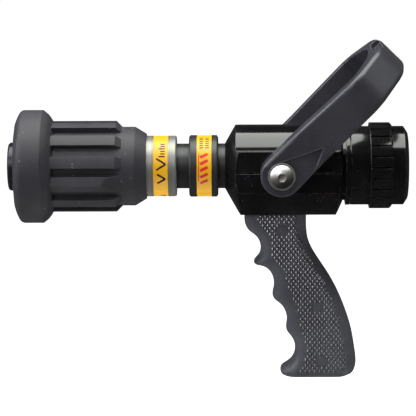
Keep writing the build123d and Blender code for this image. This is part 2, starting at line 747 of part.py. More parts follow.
def make_grip_half(shell, direction):
    """direction -1 is the left half, with blind bosses; 1 is the right, with the screw heads."""
    wide = slab(pivot_x - 80, pivot_x + 120, 0, direction * 40, saddle_z - 200, saddle_z + 1)
    half = shell & wide
    for i, (x, z) in enumerate(grip_screw_spots):
        px, pz = pivot_x + x, saddle_z + z
        start = tang_half_t + pocket_gap if i < 2 else 0
        half += cross_rod(direction * start, direction * (grip_half_t - 1), grip_boss_r, px, pz)
        if direction > 0:
            half -= cross_rod(0, grip_half_t + 1, grip_screw_r + 0.2, px, pz)
            half -= cross_rod(grip_half_t - grip_screw_head_t - 0.2, grip_half_t + 1,
                              grip_screw_head_r + 0.3, px, pz)
        else:
            half -= cross_rod(0, -(grip_half_t - 3.0), grip_screw_r, px, pz)
    return half


def make_grip_screws():
    screws = Part()
    head_y = grip_half_t - grip_screw_head_t - 0.2
    for x, z in grip_screw_spots:
        px, pz = pivot_x + x, saddle_z + z
        screw = cross_rod(-(grip_half_t - 4), head_y, grip_screw_r - 0.02, px, pz)
        screw += cross_rod(head_y, head_y + grip_screw_head_t, grip_screw_head_r, px, pz)
        for turn in (0, 90):
            cross = Rot(0, turn, 0) * Box(4.0, 2.8, 0.9)
            screw -= Pos(px, head_y + grip_screw_head_t, pz) * cross
        screws += screw
    return screws


def make_tang():
    width = 2 * (grip_half_t - grip_wall) - 1.0
    x0, x1 = tang_plate
    tang = slab(pivot_x + x0, pivot_x + x1, -width / 2, width / 2, saddle_z - tang_plate_t, saddle_z)
    outline = [(pivot_x + x, saddle_z + z) for x, z in tang_outline]
    tang += side_plate(outline, -tang_half_t, tang_half_t)
    for x in tang_bolt_x:
        tang -= Pos(pivot_x + x, 0, saddle_z) * Cylinder(grip_bolt_r + 0.2, 3 * tang_plate_t)
    for x, z in grip_screw_spots[:2]:
        tang -= cross_rod(-tang_half_t - 1, tang_half_t + 1, grip_screw_r + 0.3,
                          pivot_x + x, saddle_z + z)
    return tang


def make_grip_bolts():
    bolts = Part()
    under = saddle_z - tang_plate_t
    for x in tang_bolt_x:
        top = saddle_z + grip_bolt_reach
        bolt = Pos(pivot_x + x, 0, (under + top) / 2) * Cylinder(grip_bolt_r - 0.02, top - under)
        bolt += Pos(pivot_x + x, 0, under - grip_bolt_head_t / 2) * Cylinder(
            grip_bolt_head_r, grip_bolt_head_t)
        socket = extrude(RegularPolygon(2.0, 6, major_radius=False), 2.0)
        bolts += bolt - Pos(pivot_x + x, 0, under - grip_bolt_head_t) * socket
    return bolts


# ---------------------------------------------------------------- write every piece
os.makedirs("parts", exist_ok=True)

save("swivel_coupling", make_coupling())
gasket_rear = -thread_len
gasket_r = thread_r + gasket_recess - pocket_gap
save("hose_gasket", ring(gasket_rear - gasket_t, gasket_rear - pocket_gap, waterway_r + 0.3, gasket_r))
save("race_balls", make_race_balls())
save("race_plug", make_race_plug())
save("tail_piece", make_tail_piece())
swivel_seal_half = swivel_seal_depth / 2 - 0.03
swivel_seal_r = tail_r - swivel_seal_depth + swivel_seal_half
save("swivel_seal", o_ring(-seal_from_mouth, swivel_seal_r, swivel_seal_half))
tail_seal_half = tail_seal_depth / 2
save("tail_seal", o_ring(tail_seal_x, tail_thread_r - tail_seal_half, tail_seal_half))

save("valve_body", make_valve_body())
save("ball", make_ball())
save("front_ball_seat", make_seat(-1))
save("rear_ball_seat", make_seat(1))
save("trunnion_shafts", make_shafts())
save("trunnion_bushes", make_bushes())
save("trunnion_seals", make_shaft_seals())

save("handle", make_handle())
save("handle_washers", make_washers())
save("handle_screws", make_handle_screws())

save("outlet_tube", make_outlet_tube())
save("collar", make_collar())
save("rear_label_band", make_band(collar_front + rear_band[0], collar_front + rear_band[1], collar_r))
save("barrel", make_barrel())
save("front_label_band", make_band(barrel_rear - front_band[1], barrel_rear - front_band[0], barrel_ring_r))
save("barrel_seal", o_ring(barrel_seal_x, tube_r - barrel_seal_depth / 2, barrel_seal_depth / 2))
save("cam_pins", make_cam_pins())
save("stem_spider", make_spider())
save("stem", make_stem())
save("stem_nut", make_stem_nut())
save("baffle_head", make_baffle())
save("baffle_screw", make_baffle_screw())

save("stream_shaper", make_shaper())
save("rubber_sleeve", make_rubber_sleeve())
sleeve_seal_half = (sleeve_seal_depth - seal_gap) / 2
sleeve_seal_r = barrel_tube_r + sleeve_seal_depth - sleeve_seal_half
save("sleeve_seal", o_ring(sleeve_seal_x, sleeve_seal_r, sleeve_seal_half))
save("guide_ring", ring(guide_x - guide_width / 2, guide_x + guide_width / 2,
                        barrel_tube_r + seal_gap, barrel_tube_r + guide_t))

grip_shell = make_grip()
save("grip_left_half", make_grip_half(grip_shell, -1))
save("grip_right_half", make_grip_half(grip_shell, 1))
save("grip_screws", make_grip_screws())
save("grip_tang", make_tang())
save("grip_bolts", make_grip_bolts())
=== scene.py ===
import math
import bmesh
import bpy
import numpy as np
from mathutils import Matrix, Vector, geometry


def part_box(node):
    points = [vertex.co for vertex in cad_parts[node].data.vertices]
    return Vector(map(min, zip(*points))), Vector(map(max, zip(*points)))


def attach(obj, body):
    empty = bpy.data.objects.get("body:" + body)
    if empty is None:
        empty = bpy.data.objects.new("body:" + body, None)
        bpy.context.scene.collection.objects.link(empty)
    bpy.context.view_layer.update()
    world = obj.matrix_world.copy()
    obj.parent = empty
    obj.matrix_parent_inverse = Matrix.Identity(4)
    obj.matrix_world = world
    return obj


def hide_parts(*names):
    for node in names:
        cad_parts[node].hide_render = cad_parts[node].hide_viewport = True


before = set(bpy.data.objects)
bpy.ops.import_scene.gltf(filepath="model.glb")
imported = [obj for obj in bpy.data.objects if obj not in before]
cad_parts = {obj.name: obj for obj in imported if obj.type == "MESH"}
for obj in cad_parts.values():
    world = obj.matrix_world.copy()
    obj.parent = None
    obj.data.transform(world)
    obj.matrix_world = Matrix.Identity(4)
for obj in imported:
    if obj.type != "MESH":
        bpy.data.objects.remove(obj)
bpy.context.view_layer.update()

# ---- valve body and tail ----------------------------------------------------------------
# One block of aluminium, turned at both ends, milled flat at the sides and under the bore,
# then hard anodised a deep gloss black. The tail screws in at the rear and carries the swivel.
MM = 0.001


class Signal:
    """A socket of a finish: sums on it add Math nodes."""

    def __init__(self, finish, socket):
        self.finish = finish
        self.socket = socket

    def _sum(self, operation, first, second):
        return self.finish.node("ShaderNodeMath", {0: first, 1: second}, operation=operation)

    def __add__(self, other):
        return self._sum("ADD", self, other)

    def __sub__(self, other):
        return self._sum("SUBTRACT", self, other)

    def __mul__(self, other):
        return self._sum("MULTIPLY", self, other)

    def __radd__(self, other):
        return self._sum("ADD", other, self)

    def __rsub__(self, other):
        return self._sum("SUBTRACT", other, self)

    def __rmul__(self, other):
        return self._sum("MULTIPLY", other, self)

    def between(self, low, high):
        """0 under low, 1 over high, with a soft step."""
        return self.finish.node("ShaderNodeMapRange", {0: self, 1: low, 2: high},
                                interpolation_type="SMOOTHSTEP")


class Finish:
    """One finish of the nozzle, built up from nodes on Object coordinates."""

    def __init__(self, name, roughness, metallic=0.0, **fixed):
        self.material = bpy.data.materials.new(name)
        self.material.use_nodes = True
        self.tree = self.material.node_tree
        self.shader = self.tree.nodes["Principled BSDF"]
        self.shader.inputs["Roughness"].default_value = roughness
        self.shader.inputs["Metallic"].default_value = metallic
        for socket, value in fixed.items():
            self.shader.inputs[socket.replace("_", " ")].default_value = value
        self.place = self.node("ShaderNodeTexCoord", output="Object")

    def node(self, kind, values=None, output=0, **settings):
        """Adds a node: first its settings, then the value or link of each socket."""
        made = self.tree.nodes.new(kind)
        for name, setting in settings.items():
            setattr(made, name, setting)
        for key, value in (values or {}).items():
            self.feed(made.inputs[key], value)
        return Signal(self, made.outputs[output])

    def feed(self, socket, value):
        if isinstance(value, Signal):
            self.tree.links.new(value.socket, socket)
        elif socket.type == "RGBA":
            socket.default_value = (*value, 1)
        else:
            socket.default_value = value

    def grain(self, scale, detail=2.0, rough=0.5, stretch=(1, 1, 1)):
        """Cloudy noise, scale in features to the metre."""
        at = self.node("ShaderNodeVectorMath", {0: self.place, 1: stretch}, operation="MULTIPLY")
        return self.node("ShaderNodeTexNoise", {"Vector": at, "Scale": scale, "Detail": detail,
                                                "Roughness": rough})

    def specks(self, scale, size):
        """Small round spots, 1 on a spot."""
        cell = self.node("ShaderNodeTexVoronoi", {"Vector": self.place, "Scale": scale})
        return 1 - cell.between(size * 0.5, size)

    def blend(self, mask, low, high):
        return self.node("ShaderNodeMix", {0: mask, 6: low, 7: high}, output=2, data_type="RGBA")

    def edge(self, radius):
        """The surface's direction with its edges rounded off."""
        return self.node("ShaderNodeBevel", {"Radius": radius}, samples=6)

    def edge_wear_and_painted_highlight(self, rounded):
        """1 on the edges, from how far the rounded direction leans from the true one; it marks the
        edges both for rubbing and for a painted highlight.
        """
        true = self.node("ShaderNodeNewGeometry", output="Normal")
        same = self.node("ShaderNodeVectorMath", {0: rounded, 1: true}, output="Value",
                         operation="DOT_PRODUCT")
        return (1 - same).between(0.01, 0.25)

    def relief(self, height, depth, normal=None):
        """Raises the surface by height, 0 to 1, times depth in metres."""
        values = {"Height": height, "Distance": depth}
        if normal is not None:
            values["Normal"] = normal
        return self.node("ShaderNodeBump", values)

    def show(self, **ends):
        for socket, value in ends.items():
            self.feed(self.shader.inputs[socket.replace("_", " ")], value)


def dress(finish, *nodes):
    """Gives CAD nodes their finish."""
    for name in nodes:
        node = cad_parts[name]
        if not node.material_slots:
            node.data.materials.append(finish.material)
        for holder in node.material_slots:
            holder.material = finish.material


def anodised(name, dark, light, roughness, edge_rub_and_highlight_colour, line_depth, edge_radius):
    """Hard anodising over fine tool marks round the waterway, its edges painted lighter: partly
    rubbed anodising, partly a painted highlight.
    """
    finish = Finish(name, roughness, IOR=1.62)
    cloud = finish.grain(38, 4, 0.6)
    lines = finish.grain(1, 3, 0.7, (5200, 14, 14))
    rounded = finish.edge(edge_radius)
    rub_and_painted_highlight = finish.edge_wear_and_painted_highlight(rounded) * finish.grain(240, 3, 0.6).between(0.35, 0.7)
    dust = finish.specks(300, 0.10) * finish.grain(60).between(0.52, 0.6)
    colour = finish.blend(cloud.between(0.3, 0.75), dark, light)
    # Edges: a lighter colour, partly for rubbed anodising and partly a painted highlight along
    # them.
    colour = finish.blend(rub_and_painted_highlight * 0.75, colour, edge_rub_and_highlight_colour)
    finish.show(Base_Color=finish.blend(dust * 0.35, colour, (0.25, 0.24, 0.22)),
                Roughness=roughness + 0.07 * cloud + 0.35 * dust + 0.10 * rub_and_painted_highlight,
                Normal=finish.relief(lines, line_depth, rounded))
    return finish


# The pale edge colour is partly rubbed anodising and partly a painted highlight along the edges.
gloss_black = anodised("gloss_black_anodising", (0.0055, 0.005, 0.0055), (0.010, 0.009, 0.010),
                       0.07, (0.16, 0.155, 0.15), 0.0000011, 0.0006)
dress(gloss_black, "valve_body", "tail_piece")

# ---- ball, seats and trunnions ----------------------------------------------------------
# The shut-off: a ground and polished stainless ball between two white polymer seats, turned
# by two stainless shafts in bronze bushes, each with a nitrile ring.


def machined(name, colour, shade, roughness, stretch, depth, metallic=1.0):
    """Bare metal with fine tool marks and slight staining."""
    finish = Finish(name, roughness, metallic)
    marks = finish.grain(1, 3, 0.65, stretch)
    stain = finish.grain(90, 4, 0.6).between(0.35, 0.8)
    rounded = finish.edge(0.0002)
    finish.show(Base_Color=finish.blend(stain * 0.6, colour, shade),
                Roughness=roughness + 0.14 * marks * stain + 0.04 * stain,
                Normal=finish.relief(marks, depth, rounded))
    return finish


def moulded(name, dark, light, roughness, grain_scale, grain_depth, edge_radius, shine=0.5,
            edge_rub_and_highlight_amount=0.35, dust=0.12):
    """Moulded plastic or rubber: fine grain from the mould, cloudy tone, a little dust, scuffs, and
    edges painted lighter, partly as rubbing and partly as a painted highlight.
    """
    finish = Finish(name, roughness, Specular_IOR_Level=shine)
    cloud = finish.grain(26, 4, 0.6)
    pores = finish.grain(grain_scale, 3, 0.6)
    scuffs = finish.grain(1, 4, 0.6, (130, 130, 700)).between(0.60, 0.72)
    rounded = finish.edge(edge_radius)
    rub_and_painted_highlight = finish.edge_wear_and_painted_highlight(rounded)
    tone = finish.blend(cloud.between(0.3, 0.75), dark, light)
    # worn is the scuff colour, and on the edges it also serves as a painted highlight.
    worn = tuple(3 * value + 0.03 for value in light)
    tone = finish.blend(rub_and_painted_highlight * edge_rub_and_highlight_amount + scuffs * 0.10, tone, worn)
    specks = finish.specks(170, 0.16) * finish.grain(70).between(0.50, 0.60)
    tone = finish.blend(specks * dust, tone, (0.32, 0.31, 0.30))
    finish.show(Base_Color=tone,
                Roughness=roughness + 0.10 * cloud - 0.08 * rub_and_painted_highlight + 0.08 * scuffs,
                Normal=finish.relief(pores, grain_depth, rounded))
    return finish


polished_ball = machined("polished_ball", (0.70, 0.70, 0.69), (0.52, 0.51, 0.49), 0.07,
                         (900, 900, 900), 0.0000006)
stainless = machined("turned_stainless", (0.56, 0.56, 0.55), (0.40, 0.39, 0.37), 0.24,
                     (2600, 2600, 300), 0.0000025)
bronze = machined("bearing_bronze", (0.52, 0.34, 0.15), (0.36, 0.22, 0.10), 0.28,
                  (400, 3000, 400), 0.0000025)
seat_white = moulded("seat_polymer", (0.70, 0.69, 0.64), (0.80, 0.79, 0.75), 0.36, 1500,
                     0.000006, 0.0002)
nitrile = moulded("nitrile_rubber", (0.010, 0.010, 0.010), (0.020, 0.019, 0.019), 0.42, 2200,
                  0.000008, 0.0002)
dress(polished_ball, "ball")
dress(stainless, "trunnion_shafts")
dress(bronze, "trunnion_bushes")
dress(seat_white, "front_ball_seat", "rear_ball_seat")
dress(nitrile, "trunnion_seals", "tail_seal", "swivel_seal")

# ---- hose swivel ------------------------------------------------------------------------
# A black anodised aluminium coupling with a ring of lugs to grip, which spins on a ring of
# steel balls let in through the plugged hole. Its female thread is cut at 9 to the inch.
THREAD_R = 25.4 * MM
THREAD_PITCH = 25.4 / 9 * MM
THREAD_DEPTH = 1.55 * MM
THREAD_TURNS = 6.2
STEPS_A_TURN = 96


def solid(name, points, faces, finish, body):
    """A finished piece from its points and faces, facing outwards, on its CAD body."""
    mesh = bpy.data.meshes.new(name)
    mesh.from_pydata([tuple(p) for p in points], [], [tuple(f) for f in faces])
    return settle(name, mesh, finish, body)


def settle(name, mesh, finish, body):
    """Merges and turns a mesh's faces outwards, dresses it and rides it on its body."""
    tidy = bmesh.new()
    tidy.from_mesh(mesh)
    bmesh.ops.remove_doubles(tidy, verts=tidy.verts, dist=1e-7)
    bmesh.ops.recalc_face_normals(tidy, faces=tidy.faces)
    tidy.to_mesh(mesh)
    tidy.free()
    mesh.materials.clear()
    mesh.materials.append(finish.material)
    piece = bpy.data.objects.new(name, mesh)
    bpy.context.scene.collection.objects.link(piece)
    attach(piece, body)
    return piece


def smooth(piece, angle):
    """Smooth shading with the edges sharper than angle, in degrees, left crisp."""
    mesh = piece.data
    mesh.shade_smooth()
    mesh.set_sharp_from_angle(angle=math.radians(angle))
    return piece


def hose_thread():
    """The thread's ridge: a trapezium carried round a helix, run out at both ends."""
    section = ((-0.5, 0.0), (-0.12, 1.0), (0.12, 1.0), (0.5, 0.0), (0.3, -0.35), (-0.3, -0.35))
    count = int(STEPS_A_TURN * THREAD_TURNS)
    points, faces = [], []
    for k in range(count + 1):
        turn = 2 * math.pi * k / STEPS_A_TURN
        along = -THREAD_PITCH * (0.8 + k / STEPS_A_TURN)
        run_out = min(1.0, (k + 1) / 30, (count - k + 1) / 30)
        for x, h in section:
            depth = THREAD_DEPTH * h * run_out if h > 0 else THREAD_DEPTH * h
            r = THREAD_R - depth
            points.append((along + x * 0.82 * THREAD_PITCH, r * math.cos(turn), r * math.sin(turn)))
    n = len(section)
    for k in range(count):
        for i in range(n):
            a, b = k * n + i, k * n + (i + 1) % n
            faces.append((a, b, b + n, a + n))
    faces.append(range(n))
    faces.append(range(count * n, count * n + n))
    return solid("hose_thread_ridge", points, faces, coupling_black, "coupling")


# Its pale edge colour is partly rubbed anodising and partly a painted highlight along the edges.
coupling_black = anodised("coupling_black_anodising", (0.006, 0.0055, 0.006),
                          (0.011, 0.010, 0.011), 0.10, (0.16, 0.15, 0.14), 0.0000014, 0.0004)
dress(coupling_black, "swivel_coupling")
dress(nitrile, "hose_gasket")
dress(stainless, "race_balls", "race_plug")
smooth(hose_thread(), 35)

# ---- bail handle ------------------------------------------------------------------------
# A hoop moulded in glass filled nylon, satin black, held to the ball's shafts by a polished
# stainless button screw at each side over a low friction washer.
# The hoop's edges are painted much lighter and bluish: partly rubbing, partly a painted highlight
# along its rounded edges.
handle_nylon = moulded("handle_nylon", (0.030, 0.029, 0.037), (0.046, 0.045, 0.055), 0.30,
                       2600, 0.000010, 0.0016, 0.6, 0.9)
bright_screw = machined("bright_screw", (0.88, 0.86, 0.82), (0.74, 0.72, 0.67), 0.44,
                        (1500, 60, 1500), 0.0000012)
dress(handle_nylon, "handle")
dress(seat_white, "handle_washers")
dress(bright_screw, "handle_screws")

# ---- outlet tube and collar -------------------------------------------------------------
# Turned aluminium. The tube screws into the body, and the collar is pressed round it between
# two bare necks. Both are anodised a dark grey that shows the lathe's lines.


def turned_grey(name, colour, shade, roughness, depth, metallic):
    """Anodised aluminium as it came off the lathe: rings of lighter and darker grey."""
    finish = Finish(name, roughness, metallic, IOR=1.55)
    fine = finish.grain(1, 2, 0.6, (4200, 5, 5))
    broad = finish.grain(1, 2, 0.5, (520, 3, 3))
    cloud = finish.grain(55, 4, 0.6)
    rounded = finish.edge(0.00035)
    rub_and_painted_highlight = finish.edge_wear_and_painted_highlight(rounded)
    tone = finish.blend(broad.between(0.32, 0.7) * 0.7 + 0.3 * fine, shade, colour)
    # Edges painted lighter, partly as rubbing and partly as a painted highlight.
    tone = finish.blend(rub_and_painted_highlight * 0.5, tone, tuple(min(1.0, 1.7 * value + 0.03) for value in colour))
    finish.show(Base_Color=tone, Roughness=roughness + 0.10 * cloud + 0.10 * fine,
                Normal=finish.relief(fine, depth, rounded))
    return finish


dark_turned = turned_grey("dark_grey_anodising", (0.062, 0.061, 0.062), (0.036, 0.036, 0.037),
                          0.30, 0.0000045, 0.55)
dress(dark_turned, "outlet_tube", "collar", "stem_spider")

# ---- barrel -----------------------------------------------------------------------------
# The long aluminium tube that the pattern sleeve slides on. Its ring is left a light satin
# grey, and two stainless pins in its wall guide the sleeve's helical slots.
satin_turned = turned_grey("satin_grey_anodising", (0.36, 0.355, 0.325), (0.235, 0.23, 0.21),
                           0.32, 0.0000055, 0.60)
dress(satin_turned, "barrel", "stream_shaper", "grip_tang")
dress(nitrile, "barrel_seal", "sleeve_seal")
dress(stainless, "cam_pins")
dress(seat_white, "guide_ring")

# ---- label bands ------------------------------------------------------------------------
# Yellow printed bands let into the collar and the barrel's ring, with pointers and bars in
# black and red ink. The bands are joined at a seam low on the left side.


def printed(name, colour, shade, roughness):
    """Ink or film: even colour with slight print mottle and scuffing."""
    finish = Finish(name, roughness)
    mottle = finish.grain(700, 3, 0.6)
    scuff = finish.grain(1, 4, 0.6, (900, 160, 160)).between(0.58, 0.75)
    worn = mottle.between(0.35, 0.7) * 0.5 + 0.5 * scuff
    finish.show(Base_Color=finish.blend(worn, colour, shade),
                Roughness=roughness + 0.15 * scuff, Normal=finish.relief(mottle, 0.000004))
    return finish


label_yellow = printed("label_yellow", (0.86, 0.44, 0.006), (0.78, 0.38, 0.008), 0.36)
ink_black = printed("ink_black", (0.012, 0.012, 0.016), (0.022, 0.021, 0.022), 0.38)
seam_brown = printed("seam_brown", (0.30, 0.17, 0.02), (0.22, 0.12, 0.02), 0.45)
ink_red = printed("ink_red", (0.72, 0.025, 0.035), (0.60, 0.030, 0.030), 0.36)
dress(label_yellow, "rear_label_band", "front_label_band")
INK_T = 0.05 * MM


def mark(points, faces, radius, strokes):
    """Adds strokes to a printed mark: each runs from (x mm, degrees) to (x mm, degrees)."""
    for (x0, a0), (x1, a1), width in strokes:
        pull = radius / MM * math.pi / 180
        run = Vector((x1 - x0, (a1 - a0) * pull))
        side = Vector((-run.y, run.x)).normalized() * width / 2
        steps = max(2, int(abs(a1 - a0) / 2) + 1)
        start = len(points)
        for k in range(steps + 1):
            for s in (-1, 1):
                x = x0 + run.x * k / steps + s * side.x
                angle = math.radians(a0 + (run.y * k / steps + s * side.y) / pull)
                for r in (radius - INK_T, radius + INK_T):
                    points.append((x * MM, -r * math.cos(angle), r * math.sin(angle)))
        for k in range(steps):
            a = start + 4 * k
            b = a + 4
            faces += [(a + 1, a + 3, b + 3, b + 1), (a, b, b + 2, a + 2),
                      (a, a + 1, b + 1, b), (a + 2, b + 2, b + 3, a + 3)]
        end = start + 4 * steps
        faces += [(start, start + 2, start + 3, start + 1), (end, end + 1, end + 3, end + 2)]


def printed_marks(name, finish, radius, strokes):
    points, faces = [], []
    mark(points, faces, radius, strokes)
    return solid(name, points, faces, finish, "root")


def pointer(x, angle, size, width):
    """An open arrowhead that points to the rear."""
    half = size * 0.62 / 0.408
    return [((x - size / 2, angle + half), (x + size / 2, angle), width),
            ((x - size / 2, angle - half), (x + size / 2, angle), width)]


front_low, front_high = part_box("front_label_band")
rear_low, rear_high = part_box("rear_label_band")
FRONT_X = (front_low.x + front_high.x) / 2 / MM
REAR_X = (rear_low.x + rear_high.x) / 2 / MM
front_strokes, bar_strokes, red_strokes, seam_strokes = [], [], [], []
for turn in (0, 120, 240):
    front_strokes += pointer(FRONT_X + 0.6, turn - 14.5, 6.2, 1.5)
    front_strokes += pointer(FRONT_X + 0.4, turn + 14, 7.2, 1.45)
    for k, length in enumerate((4.8, 3.4, 3.4, 4.8, 3.4, 3.4)):
        angle = turn + 29 + 5.4 * k
        front_strokes.append(((FRONT_X + 3.4 - length, angle), (FRONT_X + 3.4, angle), 1.15))
for turn in (0, 180):
    for k in range(5):
        angle = turn - 20 + 12.5 * k
        red_strokes.append(((REAR_X - 3.0, angle - 3.4), (REAR_X + 2.9, angle + 3.6), 2.3))
    red_strokes.append(((REAR_X - 4.1, turn - 19), (REAR_X - 4.1, turn + 34), 0.7))
    for k in range(6):
        angle = turn + 46 + 5.6 * k
        bar_strokes.append(((REAR_X - 3.6, angle), (REAR_X - 0.6, angle + 1.2), 1.1))
        bar_strokes.append(((REAR_X + 0.9, angle), (REAR_X + 3.8, angle + 1.2), 1.1))
seam_strokes.append(((REAR_X - 5.4, -52), (REAR_X + 5.4, -52), 0.25))
printed_marks("front_band_pointers", ink_black, front_high.z, front_strokes)
printed_marks("rear_band_ticks", ink_black, rear_high.z, bar_strokes)
printed_marks("rear_band_red_bars", ink_red, rear_high.z, red_strokes)
printed_marks("rear_band_seam", seam_brown, rear_high.z, seam_strokes)

# ---- stem and baffle --------------------------------------------------------------------
# A stainless stem held by a three vaned spider carries the satin black baffle head that turns
# the stream into a cone. A countersunk screw holds the head on.
baffle_black = moulded("baffle_black", (0.012, 0.012, 0.014), (0.020, 0.020, 0.023), 0.26, 1800,
                       0.000006, 0.0006)
dress(baffle_black, "baffle_head")
dress(stainless, "stem", "stem_nut", "baffle_screw")

# ---- pattern sleeve ---------------------------------------------------------------------
# Matte charcoal rubber moulded over the stream shaper: a thick bumper at the front, twelve
# grip ribs, one of them cut to a point as the setting's pointer, and a thin lip at the rear.
sleeve_low, sleeve_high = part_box("rubber_sleeve")
SLEEVE_FRONT = sleeve_low.x / MM
SLEEVE_REAR = sleeve_high.x / MM
BUMPER_R = 43.9
BUMPER_REAR = SLEEVE_FRONT + 21.3
SHOULDER_END = BUMPER_REAR + 7.5
SLEEVE_R = 30.6
RIB_R = 35.3
RIB_END = SLEEVE_REAR - 23.4
TAPER = 8.8
LIP_R = 24.0
LIP_WALL = 1.2
LIP_LEN = 20.4
SHAPER_R = 24.25
SHAPER_FRONT = SLEEVE_FRONT + 12.0
MOUTH_R = 34.0
RIB_COUNT = 12
RIB_HALF = 4.85
RIB_DRAFT = 0.6
RIB_RISE = RIB_R - SLEEVE_R
RIB_FIRST = -14.5
POINTER_RIB = 0
POINTER_HALF = 7.0
POINTER_EAVE = RIB_R - 2.0
POINTER_RIDGE = RIB_R + 1.4
POINTER_HIP = 15.0
POINTER_END = SLEEVE_REAR - 19.4
TOOTH_COUNT = 30
TOOTH_IN_R = 21.6


def soft_line(corners, steps=4):
    """A run of (x, radius) points through corners that are each rounded by their own radius."""
    run = []
    for k, (x, r, round_by) in enumerate(corners):
        here = Vector((x, r))
        if not round_by:
            run.append((x, r))
            continue
        back = (Vector(corners[k - 1][:2]) - here)
        ahead = (Vector(corners[(k + 1) % len(corners)][:2]) - here)
        start = here + back.normalized() * min(round_by, back.length * 0.48)
        end = here + ahead.normalized() * min(round_by, ahead.length * 0.48)
        for i in range(steps + 1):
            t = i / steps
            p = start * (1 - t) ** 2 + here * 2 * t * (1 - t) + end * t * t
            run.append((p.x, p.y))
    return run


def divided(run, longest):
    """The same run with no step longer than longest."""
    out = [run[0]]
    for a, b in zip(run, run[1:]):
        n = max(1, math.ceil(math.dist(a, b) / longest))
        out += [(a[0] + (b[0] - a[0]) * i / n, a[1] + (b[1] - a[1]) * i / n)
                for i in range(1, n + 1)]
    return out


def rib_height(x, r, angle):
    """How far the ribs lift the sleeve's outside at a place, in millimetres."""
    if r < SLEEVE_R - 0.2:
        return 0.0
    pitch = 360 / RIB_COUNT
    number = round((angle - RIB_FIRST) / pitch)
    off = abs(math.radians(angle - RIB_FIRST - pitch * number)) * RIB_R
    half, top, end = RIB_HALF, RIB_R, SLEEVE_R + RIB_END + RIB_RISE - x
    if number % RIB_COUNT == POINTER_RIB:
        half = POINTER_HALF
        top = POINTER_EAVE + (POINTER_RIDGE - POINTER_EAVE) * (1 - off / half)
        end = SLEEVE_R + (POINTER_RIDGE - SLEEVE_R) * (POINTER_END - x) / POINTER_HIP
    side = min(1.0, max(0.0, (half + 0.25 - off) / RIB_DRAFT))
    return max(0.0, min(top, end) - r) * side * side * (3 - 2 * side)


def sleeve_angles():
    """Angles round the sleeve, close together at the ribs' edges."""
    angles = []
    pitch = 360 / RIB_COUNT
    for i in range(RIB_COUNT):
        half = POINTER_HALF if i == POINTER_RIB else RIB_HALF
        edge = [half + e for e in (-1.5, -0.65, -0.36, -0.20, -0.05, 0.10, 0.25, 0.9)]
        offs = [-e for e in reversed(edge)] + [-half * 0.35, 0.0, half * 0.35] + edge
        angles += [RIB_FIRST + pitch * i + math.degrees(off / RIB_R) for off in offs]
        ahead = POINTER_HALF if (i + 1) % RIB_COUNT == POINTER_RIB else RIB_HALF
        start = math.degrees((half + 0.9) / RIB_R)
        gap = pitch - start - math.degrees((ahead + 0.9) / RIB_R)
        angles += [RIB_FIRST + pitch * i + start + gap * k / 4 for k in (1, 2, 3)]
    return angles


def sleeve_skin():
    """The sleeve's whole surface, outside and inside, carried round the waterway."""
    outside = soft_line([
        (SLEEVE_FRONT, MOUTH_R, 0.8), (SLEEVE_FRONT + 0.9, MOUTH_R + 3.4, 2.0),
        (SLEEVE_FRONT + 4.2, BUMPER_R, 3.0), (BUMPER_REAR, BUMPER_R, 0.25),
        (BUMPER_REAR + 4.6, BUMPER_R - 3.7, 3.0), (SHOULDER_END, RIB_R, 0.6),
        (SHOULDER_END + 1.2, SLEEVE_R, 0.5), (SLEEVE_REAR - TAPER, SLEEVE_R, 0.5),
        (SLEEVE_REAR, LIP_R + LIP_WALL, 0.4)], 4)
    inside = [(SLEEVE_REAR, LIP_R), (SLEEVE_REAR - LIP_LEN, LIP_R),
              (SLEEVE_REAR - LIP_LEN, SHAPER_R), (SHAPER_FRONT, SHAPER_R)]
    run = divided(outside, 2.6) + inside + [outside[0]]
    ends = [RIB_END + d for d in (-0.3, 0.0, 0.3, RIB_RISE - 0.3, RIB_RISE, RIB_RISE + 0.3)]
    ends += [POINTER_END + 0.3 - 0.9 * k for k in range(int(POINTER_HIP / 0.9) + 2)]
    fine = []
    for a, b in zip(run, run[1:]):
        fine.append(a)
        if abs(a[1] - SLEEVE_R) < 1e-6 and abs(b[1] - SLEEVE_R) < 1e-6:
            fine += [(x, SLEEVE_R) for x in sorted(ends) if a[0] + 0.05 < x < b[0] - 0.05]
    angles = sleeve_angles()
    points, faces = [], []
    for x, r in fine:
        for angle in angles:
            lifted = r + rib_height(x, r, angle)
            turn = math.radians(angle)
            points.append((x * MM, -lifted * math.cos(turn) * MM, lifted * math.sin(turn) * MM))
    n = len(angles)
    rows = len(fine)
    for i in range(rows):
        for j in range(n):
            a, b = i * n + j, i * n + (j + 1) % n
            c, d = (i + 1) % rows * n + (j + 1) % n, (i + 1) % rows * n + j
            faces.append((a, b, c, d))
    return solid("moulded_sleeve", points, faces, sleeve_rubber, "pattern_sleeve")


